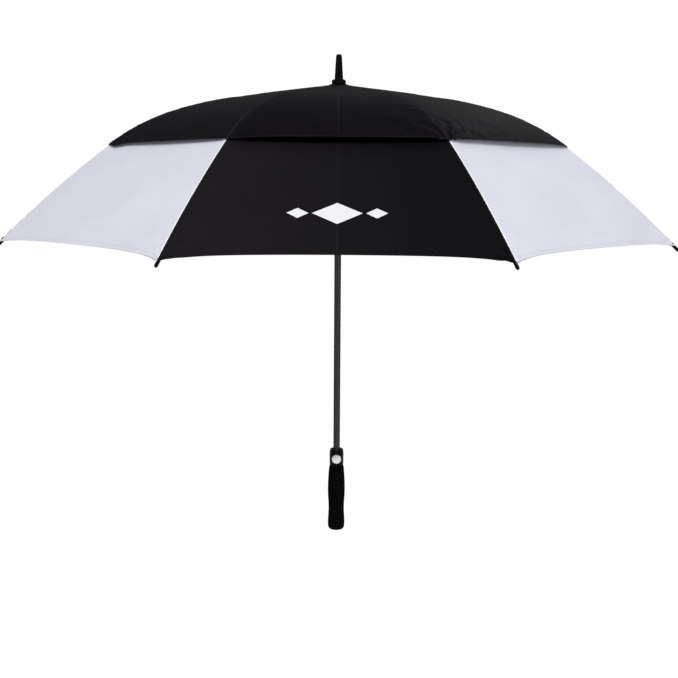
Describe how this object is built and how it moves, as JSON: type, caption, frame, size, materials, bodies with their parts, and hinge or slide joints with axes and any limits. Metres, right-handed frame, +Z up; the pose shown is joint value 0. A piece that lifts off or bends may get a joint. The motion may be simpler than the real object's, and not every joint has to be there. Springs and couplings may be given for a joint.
{
  "type": "golf umbrella",
  "caption": "Straight golf umbrella, shown open: vented double canopy in alternating black and white panels, fibreglass shaft and ribs, foam grip with push button.",
  "frame": {"origin": "middle of the flat bottom face of the foam grip", "axes": "+Z up the shaft towards the ferrule; -Y is the side the push button faces; +X to the right when the button is seen from the front"},
  "size_m": [1.2258, 1.2258, 1],
  "materials": {
    "canopy_black": "matte",
    "canopy_white": "satin",
    "fibreglass_black": "satin",
    "plastic_black": "satin",
    "foam_black": "matte",
    "chrome": "polished",
    "steel": "satin"
  },
  "bodies": {
    "frame": {"shaft": "fibreglass_black", "ferrule": "plastic_black", "ferrule_collar": "plastic_black", "rosette": "canopy_black", "crown": "plastic_black", "crown_wire": "steel", "end_stop": "plastic_black", "opening_spring": "steel", "vent_canopy": "canopy_black", "grip_foam": "foam_black", "grip_core": "plastic_black", "handle_housing": "plastic_black", "button_spring": "steel", "lower_panel_1": "canopy_white", "lower_panel_2": "canopy_black", "lower_panel_3": "canopy_white", "lower_panel_4": "canopy_black", "lower_panel_5": "canopy_white", "lower_panel_6": "canopy_black", "lower_panel_7": "canopy_white", "lower_panel_8": "canopy_black"},
    "runner": {"runner": "plastic_black", "runner_wire": "steel", "spring_plunger": "steel"},
    "button": {"button": "chrome"},
    "catch_lever": {"catch_lever": "steel"},
    "rib_inner_1": {"rib_inner_1": "fibreglass_black"},
    "rib_outer_1": {"rib_outer_1": "fibreglass_black", "rib_tip_1": "plastic_black"},
    "stretcher_1": {"stretcher_1": "fibreglass_black"},
    "rib_inner_2": {"rib_inner_2": "fibreglass_black"},
    "rib_outer_2": {"rib_outer_2": "fibreglass_black", "rib_tip_2": "plastic_black"},
    "stretcher_2": {"stretcher_2": "fibreglass_black"},
    "rib_inner_3": {"rib_inner_3": "fibreglass_black"},
    "rib_outer_3": {"rib_outer_3": "fibreglass_black", "rib_tip_3": "plastic_black"},
    "stretcher_3": {"stretcher_3": "fibreglass_black"},
    "rib_inner_4": {"rib_inner_4": "fibreglass_black"},
    "rib_outer_4": {"rib_outer_4": "fibreglass_black", "rib_tip_4": "plastic_black"},
    "stretcher_4": {"stretcher_4": "fibreglass_black"},
    "rib_inner_5": {"rib_inner_5": "fibreglass_black"},
    "rib_outer_5": {"rib_outer_5": "fibreglass_black", "rib_tip_5": "plastic_black"},
    "stretcher_5": {"stretcher_5": "fibreglass_black"},
    "rib_inner_6": {"rib_inner_6": "fibreglass_black"},
    "rib_outer_6": {"rib_outer_6": "fibreglass_black", "rib_tip_6": "plastic_black"},
    "stretcher_6": {"stretcher_6": "fibreglass_black"},
    "rib_inner_7": {"rib_inner_7": "fibreglass_black"},
    "rib_outer_7": {"rib_outer_7": "fibreglass_black", "rib_tip_7": "plastic_black"},
    "stretcher_7": {"stretcher_7": "fibreglass_black"},
    "rib_inner_8": {"rib_inner_8": "fibreglass_black"},
    "rib_outer_8": {"rib_outer_8": "fibreglass_black", "rib_tip_8": "plastic_black"},
    "stretcher_8": {"stretcher_8": "fibreglass_black"}
  },
  "joints": [
    {"name": "runner_slide", "type": "slide", "parent": "frame", "child": "runner", "axis": [0, 0, -1], "range_m": [0, 0.47521], "stiffness_N_per_m": 40, "springref_m": -0.25, "deforming": ["opening_spring", "lower_panel_1", "lower_panel_2", "lower_panel_3", "lower_panel_4", "lower_panel_5", "lower_panel_6", "lower_panel_7", "lower_panel_8", "vent_canopy"]},
    {"name": "rib_fold_1", "type": "hinge", "parent": "frame", "child": "rib_inner_1", "pos_m": [0.0044, -0.01062, 0.9315], "axis": [0.9239, 0.3827, 0], "range_deg": [-0.02, 73.11]},
    {"name": "rib_flex_1", "type": "hinge", "parent": "rib_inner_1", "child": "rib_outer_1", "pos_m": [0.1493, -0.36043, 0.85163], "axis": [0.9239, 0.3827, 0], "range_deg": [-18.09, 0.02]},
    {"name": "stretcher_hinge_1", "type": "hinge", "parent": "rib_inner_1", "child": "stretcher_1", "pos_m": [0.12764, -0.30814, 0.86788], "axis": [0.9239, 0.3827, 0], "range_deg": [-135.16, 0.02]},
    {"name": "rib_fold_2", "type": "hinge", "parent": "frame", "child": "rib_inner_2", "pos_m": [0.01062, -0.0044, 0.9315], "axis": [0.3827, 0.9239, 0], "range_deg": [-0.02, 73.11]},
    {"name": "rib_flex_2", "type": "hinge", "parent": "rib_inner_2", "child": "rib_outer_2", "pos_m": [0.36043, -0.1493, 0.85163], "axis": [0.3827, 0.9239, 0], "range_deg": [-18.09, 0.02]},
    {"name": "stretcher_hinge_2", "type": "hinge", "parent": "rib_inner_2", "child": "stretcher_2", "pos_m": [0.30814, -0.12764, 0.86788], "axis": [0.3827, 0.9239, 0], "range_deg": [-135.16, 0.02]},
    {"name": "rib_fold_3", "type": "hinge", "parent": "frame", "child": "rib_inner_3", "pos_m": [0.01062, 0.0044, 0.9315], "axis": [-0.3827, 0.9239, 0], "range_deg": [-0.02, 73.11]},
    {"name": "rib_flex_3", "type": "hinge", "parent": "rib_inner_3", "child": "rib_outer_3", "pos_m": [0.36043, 0.1493, 0.85163], "axis": [-0.3827, 0.9239, 0], "range_deg": [-18.09, 0.02]},
    {"name": "stretcher_hinge_3", "type": "hinge", "parent": "rib_inner_3", "child": "stretcher_3", "pos_m": [0.30814, 0.12764, 0.86788], "axis": [-0.3827, 0.9239, 0], "range_deg": [-135.16, 0.02]},
    {"name": "rib_fold_4", "type": "hinge", "parent": "frame", "child": "rib_inner_4", "pos_m": [0.0044, 0.01062, 0.9315], "axis": [-0.9239, 0.3827, 0], "range_deg": [-0.02, 73.11]},
    {"name": "rib_flex_4", "type": "hinge", "parent": "rib_inner_4", "child": "rib_outer_4", "pos_m": [0.1493, 0.36043, 0.85163], "axis": [-0.9239, 0.3827, 0], "range_deg": [-18.09, 0.02]},
    {"name": "stretcher_hinge_4", "type": "hinge", "parent": "rib_inner_4", "child": "stretcher_4", "pos_m": [0.12764, 0.30814, 0.86788], "axis": [-0.9239, 0.3827, 0], "range_deg": [-135.16, 0.02]},
    {"name": "rib_fold_5", "type": "hinge", "parent": "frame", "child": "rib_inner_5", "pos_m": [-0.0044, 0.01062, 0.9315], "axis": [-0.9239, -0.3827, 0], "range_deg": [-0.02, 73.11]},
    {"name": "rib_flex_5", "type": "hinge", "parent": "rib_inner_5", "child": "rib_outer_5", "pos_m": [-0.1493, 0.36043, 0.85163], "axis": [-0.9239, -0.3827, 0], "range_deg": [-18.09, 0.02]},
    {"name": "stretcher_hinge_5", "type": "hinge", "parent": "rib_inner_5", "child": "stretcher_5", "pos_m": [-0.12764, 0.30814, 0.86788], "axis": [-0.9239, -0.3827, 0], "range_deg": [-135.16, 0.02]},
    {"name": "rib_fold_6", "type": "hinge", "parent": "frame", "child": "rib_inner_6", "pos_m": [-0.01062, 0.0044, 0.9315], "axis": [-0.3827, -0.9239, 0], "range_deg": [-0.02, 73.11]},
    {"name": "rib_flex_6", "type": "hinge", "parent": "rib_inner_6", "child": "rib_outer_6", "pos_m": [-0.36043, 0.1493, 0.85163], "axis": [-0.3827, -0.9239, 0], "range_deg": [-18.09, 0.02]},
    {"name": "stretcher_hinge_6", "type": "hinge", "parent": "rib_inner_6", "child": "stretcher_6", "pos_m": [-0.30814, 0.12764, 0.86788], "axis": [-0.3827, -0.9239, 0], "range_deg": [-135.16, 0.02]},
    {"name": "rib_fold_7", "type": "hinge", "parent": "frame", "child": "rib_inner_7", "pos_m": [-0.01062, -0.0044, 0.9315], "axis": [0.3827, -0.9239, 0], "range_deg": [-0.02, 73.11]},
    {"name": "rib_flex_7", "type": "hinge", "parent": "rib_inner_7", "child": "rib_outer_7", "pos_m": [-0.36043, -0.1493, 0.85163], "axis": [0.3827, -0.9239, 0], "range_deg": [-18.09, 0.02]},
    {"name": "stretcher_hinge_7", "type": "hinge", "parent": "rib_inner_7", "child": "stretcher_7", "pos_m": [-0.30814, -0.12764, 0.86788], "axis": [0.3827, -0.9239, 0], "range_deg": [-135.16, 0.02]},
    {"name": "rib_fold_8", "type": "hinge", "parent": "frame", "child": "rib_inner_8", "pos_m": [-0.0044, -0.01062, 0.9315], "axis": [0.9239, -0.3827, 0], "range_deg": [-0.02, 73.11]},
    {"name": "rib_flex_8", "type": "hinge", "parent": "rib_inner_8", "child": "rib_outer_8", "pos_m": [-0.1493, -0.36043, 0.85163], "axis": [0.9239, -0.3827, 0], "range_deg": [-18.09, 0.02]},
    {"name": "stretcher_hinge_8", "type": "hinge", "parent": "rib_inner_8", "child": "stretcher_8", "pos_m": [-0.12764, -0.30814, 0.86788], "axis": [0.9239, -0.3827, 0], "range_deg": [-135.16, 0.02]},
    {"name": "button_press", "type": "slide", "parent": "frame", "child": "button", "axis": [0, 1, 0], "range_m": [0, 0.0025], "stiffness_N_per_m": 1200, "springref_m": -0.0012, "deforming": ["button_spring"]},
    {"name": "catch_pivot", "type": "hinge", "parent": "frame", "child": "catch_lever", "pos_m": [0, -0.0105, 0.174], "axis": [1, 0, 0], "range_deg": [-0.02, 9.19]}
  ],
  "couplings": [
    {"joint": "rib_fold_1", "follows": "runner_slide", "rad_per_m": 2.6844},
    {"joint": "rib_flex_1", "follows": "runner_slide", "rad_per_m": -0.66368},
    {"joint": "stretcher_hinge_1", "follows": "runner_slide", "rad_per_m": -4.9633},
    {"joint": "rib_fold_2", "follows": "runner_slide", "rad_per_m": 2.6844},
    {"joint": "rib_flex_2", "follows": "runner_slide", "rad_per_m": -0.66368},
    {"joint": "stretcher_hinge_2", "follows": "runner_slide", "rad_per_m": -4.9633},
    {"joint": "rib_fold_3", "follows": "runner_slide", "rad_per_m": 2.6844},
    {"joint": "rib_flex_3", "follows": "runner_slide", "rad_per_m": -0.66368},
    {"joint": "stretcher_hinge_3", "follows": "runner_slide", "rad_per_m": -4.9633},
    {"joint": "rib_fold_4", "follows": "runner_slide", "rad_per_m": 2.6844},
    {"joint": "rib_flex_4", "follows": "runner_slide", "rad_per_m": -0.66368},
    {"joint": "stretcher_hinge_4", "follows": "runner_slide", "rad_per_m": -4.9633},
    {"joint": "rib_fold_5", "follows": "runner_slide", "rad_per_m": 2.6844},
    {"joint": "rib_flex_5", "follows": "runner_slide", "rad_per_m": -0.66368},
    {"joint": "stretcher_hinge_5", "follows": "runner_slide", "rad_per_m": -4.9633},
    {"joint": "rib_fold_6", "follows": "runner_slide", "rad_per_m": 2.6844},
    {"joint": "rib_flex_6", "follows": "runner_slide", "rad_per_m": -0.66368},
    {"joint": "stretcher_hinge_6", "follows": "runner_slide", "rad_per_m": -4.9633},
    {"joint": "rib_fold_7", "follows": "runner_slide", "rad_per_m": 2.6844},
    {"joint": "rib_flex_7", "follows": "runner_slide", "rad_per_m": -0.66368},
    {"joint": "stretcher_hinge_7", "follows": "runner_slide", "rad_per_m": -4.9633},
    {"joint": "rib_fold_8", "follows": "runner_slide", "rad_per_m": 2.6844},
    {"joint": "rib_flex_8", "follows": "runner_slide", "rad_per_m": -0.66368},
    {"joint": "stretcher_hinge_8", "follows": "runner_slide", "rad_per_m": -4.9633},
    {"joint": "catch_pivot", "follows": "button_press", "rad_per_m": 64}
  ]
}
